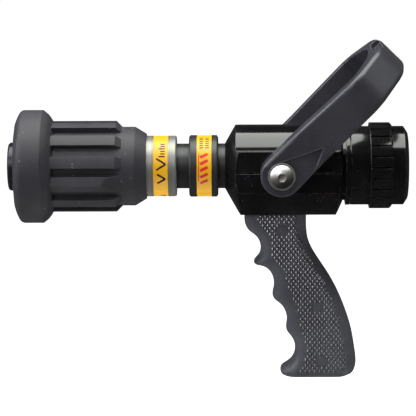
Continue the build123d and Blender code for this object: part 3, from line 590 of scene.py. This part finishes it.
def fog_teeth():
    """The ring of moulded teeth behind the mouth that breaks the cone into fog."""
    tree = bpy.data.node_groups.new("fog_teeth", "GeometryNodeTree")
    face = tree.interface
    face.new_socket("Geometry", in_out="OUTPUT", socket_type="NodeSocketGeometry")
    face.new_socket("Geometry", in_out="INPUT", socket_type="NodeSocketGeometry")
    count = face.new_socket("Teeth", in_out="INPUT", socket_type="NodeSocketInt")
    radius = face.new_socket("Ring radius", in_out="INPUT", socket_type="NodeSocketFloat")
    add = tree.nodes.new
    link = tree.links.new
    start, end = add("NodeGroupInput"), add("NodeGroupOutput")
    ring = add("GeometryNodeMeshCircle")
    place = add("GeometryNodeInstanceOnPoints")
    turn = add("FunctionNodeAlignEulerToVector")
    turn.axis = "X"
    spot = add("GeometryNodeInputPosition")
    stand = add("GeometryNodeTransform")
    stand.inputs["Rotation"].default_value = (0, math.pi / 2, 0)
    stand.inputs["Translation"].default_value = ((SHAPER_FRONT - 0.3) * MM, 0, 0)
    real, paint = add("GeometryNodeRealizeInstances"), add("GeometryNodeSetMaterial")
    paint.inputs["Material"].default_value = sleeve_rubber.material
    link(start.outputs["Teeth"], ring.inputs["Vertices"])
    link(start.outputs["Ring radius"], ring.inputs["Radius"])
    link(ring.outputs[0], place.inputs["Points"])
    link(start.outputs["Geometry"], place.inputs["Instance"])
    link(spot.outputs[0], turn.inputs["Vector"])
    link(turn.outputs[0], place.inputs["Rotation"])
    link(place.outputs[0], stand.inputs[0])
    link(stand.outputs[0], real.inputs[0])
    link(real.outputs[0], paint.inputs["Geometry"])
    link(paint.outputs[0], end.inputs[0])
    seed = bpy.data.meshes.new("one_tooth")
    profile = [(0.2, 1.0), (-4.6, 0.0), (-6.0, 0.9), (-7.6, 7.0), (-3.6, 7.0), (0.2, 4.0)]
    points = [(r * MM, s * (1.2 if 0 < k < 4 else 1.25) * MM, -x * MM)
              for s in (-1, 1) for k, (x, r) in enumerate(profile)]
    n = len(profile)
    faces = [tuple(range(n)), tuple(range(2 * n - 1, n - 1, -1))]
    faces += [(i, n + i, n + (i + 1) % n, (i + 1) % n) for i in range(n)]
    seed.from_pydata(points, [], faces)
    return grown("fog_teeth", seed, tree, {count: TOOTH_COUNT, radius: TOOTH_IN_R * MM},
                 sleeve_rubber, "pattern_sleeve")


def grown(name, seed, tree, inputs, finish, body):
    """Runs a tree on a seed mesh and keeps the result as a plain finished piece."""
    holder = bpy.data.objects.new(name + "_seed", seed)
    bpy.context.scene.collection.objects.link(holder)
    grow = holder.modifiers.new(name, "NODES")
    grow.node_group = tree
    for socket, value in inputs.items():
        grow[socket.identifier] = value
    bpy.context.view_layer.update()
    mesh = bpy.data.meshes.new_from_object(
        holder.evaluated_get(bpy.context.evaluated_depsgraph_get()))
    holder.modifiers.clear()
    bpy.data.objects.remove(holder)
    return settle(name, mesh, finish, body)


# The bumper rim and rib edges are painted lighter: partly rubbing, partly a painted highlight along
# the edges.
sleeve_rubber = moulded("sleeve_rubber", (0.032, 0.029, 0.036), (0.046, 0.042, 0.051), 0.50,
                        1900, 0.000022, 0.0004, 0.40, 0.6, 0.35)
sleeve = smooth(sleeve_skin(), 33)
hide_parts("rubber_sleeve")
smooth(fog_teeth(), 30)

# ---- pistol grip ------------------------------------------------------------------------
# Two hollow halves moulded in charcoal nylon, screwed together round the steel tang from the
# right. Finger grooves run down the front, and both sides are chequered with small pyramids.
GRIP_HALF_T = 14.0
GRIP_ROUND = 10.5
GRIP_BOTTOM_ROUND = 2.4
GRIP_WALL = 2.8
SEAM = 0.05
SCREW_HOLE_R = 3.9
SCREW_SPOTS = ((-95.9, -49.0), (-69.2, -110.8), (-65.7, -153.8))
PANEL = ((-117.1, -36.5), (-115.6, -43.2), (-110.2, -48.0), (-106.3, -54.4), (-104.3, -62.3),
         (-104.7, -69.5), (-100.1, -75.9), (-94.6, -85.1), (-91.5, -94.4), (-88.0, -103.6),
         (-84.0, -114.1), (-82.3, -125.8), (-78.9, -136.4), (-77.7, -149.4), (-81.2, -158.3),
         (-85.5, -164.0), (-45.6, -164.0), (-45.9, -155.2), (-47.8, -141.3), (-50.8, -125.9),
         (-55.6, -108.1), (-61.9, -94.4), (-69.0, -81.6), (-76.8, -68.0), (-84.1, -55.2),
         (-86.9, -44.9), (-85.4, -36.5))
DIAMOND = (1.85, 2.35)
PYRAMID = (1.72, 2.2)
PYRAMID_HEIGHT = 1.1
BOSS_CLEAR_R = 4.9
BOSS_STEPS = 36
HOLE_STEPS = 28
INSET_LINES = (0.07, 0.28, 0.65, 1.2, 2.0, 3.0, 4.3, 5.9, 7.9)
GRID_STEP = 2.2


def grip_outline():
    """The grip's outline from its front top corner down and round to the rear one, in mm."""
    copy = bmesh.new()
    copy.from_mesh(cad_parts["grip_left_half"].data)
    bmesh.ops.remove_doubles(copy, verts=copy.verts, dist=1e-6)
    side = min(v.co.y for v in copy.verts)
    flat = {f for f in copy.faces if all(abs(v.co.y - side) < 1e-5 for v in f.verts)}
    rim = [e for e in copy.edges if sum(f in flat for f in e.link_faces) == 1]
    near = {}
    for e in rim:
        a, b = e.verts
        near.setdefault(a, []).append(b)
        near.setdefault(b, []).append(a)
    top = max(v.co.z for v in near)
    corners = sorted((v for v in near if v.co.z > top - 1e-5), key=lambda v: v.co.x)
    first, last = corners[0], corners[-1]
    step = [v for v in near[first] if v.co.z < top - 1e-5]
    chain, here, before = [first], step[0], first
    while here is not last:
        chain.append(here)
        ahead = [v for v in near[here] if v is not before]
        before, here = here, ahead[0]
    chain.append(last)
    line = np.array([(v.co.x / MM, v.co.z / MM) for v in chain])
    copy.free()
    return line


def evened(line, spacing):
    """The same line with points at an even spacing, its small facets smoothed out."""
    along = np.concatenate([[0], np.cumsum(np.hypot(*np.diff(line, axis=0).T))])
    at = np.linspace(0, along[-1], int(along[-1] / spacing) + 1)
    even = np.stack([np.interp(at, along, line[:, 0]), np.interp(at, along, line[:, 1])], 1)
    for _ in range(6):
        even[1:-1] = even[1:-1] * 0.5 + (even[:-2] + even[2:]) * 0.25
    return even


def distance(points, line):
    """Distance of each point from a line of points."""
    a, b = line[:-1], line[1:]
    run = b - a
    away = points[:, None, :] - a[None]
    t = np.clip((away * run).sum(2) / (run * run).sum(1), 0, 1)
    gap = away - t[..., None] * run
    return np.sqrt((gap ** 2).sum(2)).min(1)


def bulge(d, reach, power):
    """Rounding from an edge inwards: 0 at the edge, 1 from reach on."""
    t = np.clip(d / reach, 0, 1)
    return (1 - (1 - t) ** power) ** (1 / power)


def grip_thickness(points):
    """Half the grip's thickness at each point, rounded into the outline all round."""
    foot = grip_line[:, 1].min() + 0.35
    side = grip_line[grip_line[:, 1] > foot]
    split = int(np.argmax(np.hypot(*np.diff(side, axis=0).T)))
    front, rear = side[:split + 1], side[split + 1:]
    front = np.vstack([[front[0, 0], front[0, 1] + 25], front])
    rear = np.vstack([rear, [rear[-1, 0], rear[-1, 1] + 25]])
    d_side = np.minimum(distance(points, front), distance(points, rear))
    d_foot = np.maximum(points[:, 1] - grip_line[:, 1].min(), 0)
    round_side = bulge(d_side, GRIP_ROUND, 2.4)
    return SEAM + (GRIP_HALF_T - SEAM) * round_side * bulge(d_foot, GRIP_BOTTOM_ROUND, 2.2)


def inside(points, line):
    """Which points lie inside a closed line."""
    x, y = points[:, 0, None], points[:, 1, None]
    x0, y0 = line[:, 0], line[:, 1]
    x1, y1 = np.roll(x0, -1), np.roll(y0, -1)
    crosses = (y0 > y) != (y1 > y)
    with np.errstate(divide="ignore", invalid="ignore"):
        at = x0 + (y - y0) * (x1 - x0) / (y1 - y0)
    return (crosses & (x < at)).sum(1) % 2 == 1


def grip_half(name, direction, holes, replaced):
    """One half's moulded shell; direction is -1 for the left and 1 for the right."""
    points = [grip_line]
    step = np.gradient(grip_line, axis=0)
    inward = np.stack([-step[:, 1], step[:, 0]], 1) / np.hypot(*step.T)[:, None]
    if not inside(grip_line[40:41] + 1.0 * inward[40:41], grip_line)[0]:
        inward = -inward
    closed = np.vstack([grip_line, grip_line[:1]])
    for d in INSET_LINES:
        spots = grip_line + inward * d
        far = distance(spots, closed[:-1])
        points.append(spots[(np.abs(far - d) < 0.05 * d + 0.02) & inside(spots, grip_line)
                            & (spots[:, 1] < grip_line[0, 1] - 0.3)])
    low, high = grip_line.min(0), grip_line.max(0)
    xs, zs = np.meshgrid(np.arange(low[0], high[0], GRID_STEP),
                         np.arange(low[1], high[1], GRID_STEP))
    grid = np.stack([xs.ravel(), zs.ravel()], 1)
    grid = grid[inside(grid, grip_line)]
    grid = grid[(distance(grid, closed[:-1]) > 9.0) & (grid[:, 1] < grip_line[0, 1] - 0.6)]
    points.append(grid)
    top_edge = np.stack([np.linspace(grip_line[-1, 0], grip_line[0, 0], 30)[1:-1],
                         np.full(28, grip_line[0, 1])], 1)
    loop = np.vstack([grip_line, top_edge])
    rings = []
    flat = np.vstack([loop] + points[1:])
    edges = [(i, (i + 1) % len(loop)) for i in range(len(loop))]
    for x, z in holes:
        turn = np.linspace(0, 2 * math.pi, HOLE_STEPS, endpoint=False)
        ring = np.stack([x + SCREW_HOLE_R * np.cos(turn), z + SCREW_HOLE_R * np.sin(turn)], 1)
        clear = np.hypot(flat[:, 0] - x, flat[:, 1] - z) > SCREW_HOLE_R + 0.5
        clear[:len(loop)] = True
        flat = flat[clear]
        rings.append(ring)
    for ring in rings:
        start = len(flat)
        flat = np.vstack([flat, ring])
        edges += [(start + i, start + (i + 1) % HOLE_STEPS) for i in range(HOLE_STEPS)]
    cut = geometry.delaunay_2d_cdt([Vector(p) for p in flat], edges, [], 1, 1e-6)
    flat = np.array([tuple(v) for v in cut[0]])
    thick = grip_thickness(flat)
    faces = []
    for f in cut[2]:
        centre = flat[list(f)].mean(0)
        if any(math.dist(centre, hole) < SCREW_HOLE_R for hole in holes):
            continue
        faces.append(f if direction > 0 else f[::-1])
    mesh = bpy.data.meshes.new(name)
    mesh.from_pydata([(p[0] * MM, direction * t * MM, p[1] * MM) for p, t in zip(flat, thick)],
                     [], faces)
    shell = bpy.data.objects.new(name, mesh)
    bpy.context.scene.collection.objects.link(shell)
    if sum(p.normal.y * p.area for p in mesh.polygons) * direction <= 0:
        mesh.flip_normals()
    wall = shell.modifiers.new("wall", "SOLIDIFY")
    wall.thickness = GRIP_WALL * MM
    wall.offset = -1
    mesh.shade_smooth()
    bpy.context.view_layer.update()
    plain = bpy.data.meshes.new_from_object(
        shell.evaluated_get(bpy.context.evaluated_depsgraph_get()))
    shell.modifiers.clear()
    shell.data = plain
    plain.materials.clear()
    plain.materials.append(grip_nylon.material)
    plain.set_sharp_from_angle(angle=math.radians(55))
    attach(shell, "root")
    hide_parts(replaced)
    return shell


def chequering_tree():
    """Plants a small diamond pyramid on every point, leaning with the surface."""
    tree = bpy.data.node_groups.new("chequering", "GeometryNodeTree")
    face = tree.interface
    face.new_socket("Geometry", in_out="OUTPUT", socket_type="NodeSocketGeometry")
    face.new_socket("Geometry", in_out="INPUT", socket_type="NodeSocketGeometry")
    height = face.new_socket("Height", in_out="INPUT", socket_type="NodeSocketFloat")
    size = face.new_socket("Diamond", in_out="INPUT", socket_type="NodeSocketVector")
    add = tree.nodes.new
    link = tree.links.new
    start, end = add("NodeGroupInput"), add("NodeGroupOutput")
    cone = add("GeometryNodeMeshCone")
    cone.fill_type = "NGON"
    cone.inputs["Vertices"].default_value = 4
    cone.inputs["Radius Top"].default_value = 0.10
    cone.inputs["Radius Bottom"].default_value = 1.0
    lean = add("GeometryNodeInputNamedAttribute")
    lean.data_type = "FLOAT_VECTOR"
    lean.inputs["Name"].default_value = "lean"
    turn = add("FunctionNodeAlignEulerToVector")
    turn.axis = "Z"
    place = add("GeometryNodeInstanceOnPoints")
    real, paint = add("GeometryNodeRealizeInstances"), add("GeometryNodeSetMaterial")
    paint.inputs["Material"].default_value = chequer_nylon_painted_glint.material
    link(start.outputs["Height"], cone.inputs["Depth"])
    link(lean.outputs["Attribute"], turn.inputs["Vector"])
    link(start.outputs["Geometry"], place.inputs["Points"])
    link(cone.outputs["Mesh"], place.inputs["Instance"])
    link(turn.outputs[0], place.inputs["Rotation"])
    link(start.outputs["Diamond"], place.inputs["Scale"])
    link(place.outputs[0], real.inputs[0])
    link(real.outputs[0], paint.inputs["Geometry"])
    link(paint.outputs[0], end.inputs[0])
    return tree, height, size


def chequering(name, direction, tree, height, size):
    """The pyramids of one side."""
    panel = np.array(PANEL)
    low, high = panel.min(0), panel.max(0)
    spots = []
    for row in range(int((high[1] - low[1]) / DIAMOND[1]) + 2):
        for column in range(int((high[0] - low[0]) / (2 * DIAMOND[0])) + 2):
            spots.append((low[0] + (2 * column + row % 2) * DIAMOND[0],
                          high[1] - 1.5 - row * DIAMOND[1]))
    spots = np.array(spots)
    spots = spots[inside(spots, panel)]
    for hole in SCREW_SPOTS:
        spots = spots[np.hypot(*(spots - hole).T) > BOSS_CLEAR_R]
    t = grip_thickness(spots)
    tx = (grip_thickness(spots + (0.2, 0)) - grip_thickness(spots - (0.2, 0))) / 0.4
    tz = (grip_thickness(spots + (0, 0.2)) - grip_thickness(spots - (0, 0.2))) / 0.4
    mesh = bpy.data.meshes.new(name)
    mesh.from_pydata([(p[0] * MM, direction * (k - 0.12) * MM, p[1] * MM)
                      for p, k in zip(spots, t)], [], [])
    lean = mesh.attributes.new("lean", "FLOAT_VECTOR", "POINT")
    out = np.stack([-tx, np.full(len(t), direction), -tz], 1).astype(np.float32)
    lean.data.foreach_set("vector", out.ravel())
    values = {height: PYRAMID_HEIGHT * MM, size: (PYRAMID[0] * MM, PYRAMID[1] * MM, 1.0)}
    return grown(name, mesh, tree, values, chequer_nylon_painted_glint, "root")


def screw_boss(name, direction):
    """The smooth round spots of the left half, over its blind screw bosses."""
    points, faces = [], []
    for x, z in SCREW_SPOTS:
        base = float(grip_thickness(np.array([(x, z)]))[0])
        start = len(points)
        for r, h in ((3.6, -0.6), (3.6, 0.16), (3.45, 0.30), (3.2, 0.34)):
            for k in range(BOSS_STEPS):
                turn = 2 * math.pi * k / BOSS_STEPS
                points.append(((x + r * math.cos(turn)) * MM, direction * (base + h) * MM,
                               (z + r * math.sin(turn)) * MM))
        for ring in range(3):
            for k in range(BOSS_STEPS):
                a = start + ring * BOSS_STEPS + k
                b = start + ring * BOSS_STEPS + (k + 1) % BOSS_STEPS
                faces.append((a, b, b + BOSS_STEPS, a + BOSS_STEPS))
        first = range(start, start + BOSS_STEPS)
        last = range(start + 3 * BOSS_STEPS, start + 4 * BOSS_STEPS)
        faces += [tuple(reversed(first)), tuple(last)]
    return solid(name, points, faces, grip_nylon, "root")


grip_nylon = moulded("grip_nylon", (0.060, 0.060, 0.072), (0.084, 0.084, 0.098), 0.40, 1700,
                     0.000022, 0.0003)
# The chequering is a lighter copy of the grip's nylon: a painted glint on the pyramids' tips.
chequer_nylon_painted_glint = moulded("chequer_nylon_painted_glint", (0.070, 0.069, 0.080), (0.11, 0.11, 0.122), 0.18,
                        2600, 0.000006, 0.00025, 1.0)
chequer_nylon_painted_glint.shader.inputs["IOR"].default_value = 2.0
grip_line = evened(grip_outline(), 1.15)
grip_half("left_grip_shell", -1, (), "grip_left_half")
grip_half("right_grip_shell", 1, SCREW_SPOTS, "grip_right_half")
tree, height, size = chequering_tree()
smooth(chequering("left_chequering", -1, tree, height, size), 80)
smooth(chequering("right_chequering", 1, tree, height, size), 80)
smooth(screw_boss("left_screw_bosses", -1), 40)
dress(stainless, "grip_screws", "grip_bolts")

# ---- studio -----------------------------------------------------------------------------
# The nozzle hangs in front of a white sweep over a low pale floor, with one long softbox
# overhead, one at the left and a weak fill in front. Behind it a low band glows in the gloss.
CAMERA_AT = Vector((-0.1334, -1.6535, 0.3206))
CAMERA_AIM = Vector((-0.1544, 0.0, -0.0335))
CAMERA_ROLL = -0.35

camera_data = bpy.data.cameras.new("camera")
camera_data.lens = 187.6
camera_data.sensor_width = 36
camera = bpy.data.objects.new("camera", camera_data)
bpy.context.scene.collection.objects.link(camera)
aim = (CAMERA_AIM - CAMERA_AT).to_track_quat("-Z", "Y").to_matrix().to_4x4()
camera.matrix_world = Matrix.Translation(CAMERA_AT) @ aim @ Matrix.Rotation(
    math.radians(CAMERA_ROLL), 4, "Z")
bpy.context.scene.camera = camera
bpy.context.scene.view_settings.view_transform = "Standard"


def softbox(name, at, towards, width, height, power, colour):
    """An area light that shines from one place towards another."""
    data = bpy.data.lights.new(name, "AREA")
    data.shape = "RECTANGLE"
    data.size = width
    data.size_y = height
    data.energy = power
    data.color = colour
    lamp = bpy.data.objects.new(name, data)
    bpy.context.scene.collection.objects.link(lamp)
    way = Vector(towards) - Vector(at)
    lamp.matrix_world = Matrix.Translation(at) @ way.to_track_quat("-Z", "Y").to_matrix().to_4x4()


softbox("overhead_softbox", (-0.15, -0.03, 1.25), (-0.15, 0.0, 0.0), 2.4, 1.2, 46,
        (0.97, 1.0, 0.95))
softbox("front_fill", (-0.75, -1.3, 0.85), (-0.15, 0.0, 0.0), 0.8, 0.8, 7,
        (0.97, 0.97, 1.0))
softbox("left_softbox", (-1.7, -0.30, 0.75), (-0.1, 0.0, 0.0), 0.9, 0.9, 17,
        (0.90, 0.94, 1.0))

world = bpy.data.worlds.new("white_sweep")
bpy.context.scene.world = world
world.use_nodes = True
nodes, links = world.node_tree.nodes, world.node_tree.links


def ramp(source, low, high, start, end):
    """A clamped run from start to end as the source goes from low to high."""
    node = nodes.new("ShaderNodeMapRange")
    links.new(source, node.inputs["Value"])
    for name, value in (("From Min", low), ("From Max", high), ("To Min", start), ("To Max", end)):
        node.inputs[name].default_value = value
    return node.outputs[0]


sky = nodes["Background"]
sweep = nodes.new("ShaderNodeBackground")
sweep.inputs["Color"].default_value = (1, 1, 1, 1)
sweep.inputs["Strength"].default_value = 1.0
path = nodes.new("ShaderNodeLightPath")
either = nodes.new("ShaderNodeMixShader")
way = nodes.new("ShaderNodeTexCoord")
parts = nodes.new("ShaderNodeSeparateXYZ")
links.new(way.outputs["Generated"], parts.inputs[0])
behind = ramp(parts.outputs["Y"], 0.1, 0.5, 0.0, 1.0)
low_down = ramp(parts.outputs["Z"], 0.40, 0.52, 0.85, 0.0)
level = nodes.new("ShaderNodeMath")
level.operation = "MULTIPLY"
links.new(behind, level.inputs[0])
links.new(ramp(parts.outputs["Z"], -0.55, -0.30, 0.0, 1.0), level.inputs[1])
glow = nodes.new("ShaderNodeMath")
glow.operation = "MULTIPLY_ADD"
links.new(level.outputs[0], glow.inputs[0])
links.new(low_down, glow.inputs[1])
glow.inputs[2].default_value = 0.035
links.new(glow.outputs[0], sky.inputs["Strength"])
links.new(path.outputs["Is Camera Ray"], either.inputs[0])
links.new(sky.outputs[0], either.inputs[1])
links.new(sweep.outputs[0], either.inputs[2])
links.new(either.outputs[0], nodes["World Output"].inputs["Surface"])

FLOOR_Z = -0.62
floor_mesh = bpy.data.meshes.new("floor")
floor_mesh.from_pydata([(-6, -0.8, FLOOR_Z), (6, -0.8, FLOOR_Z), (6, 9, FLOOR_Z),
                        (-6, 9, FLOOR_Z)], [], [(0, 1, 2, 3)])
floor = bpy.data.objects.new("floor", floor_mesh)
bpy.context.scene.collection.objects.link(floor)
pale = bpy.data.materials.new("pale_floor")
pale.use_nodes = True
for socket, value in (("Base Color", (0.86, 0.86, 0.86, 1)), ("Roughness", 0.9),
                      ("Emission Color", (1, 1, 1, 1)), ("Emission Strength", 1.0)):
    pale.node_tree.nodes["Principled BSDF"].inputs[socket].default_value = value
floor_mesh.materials.append(pale)
floor.visible_glossy = False
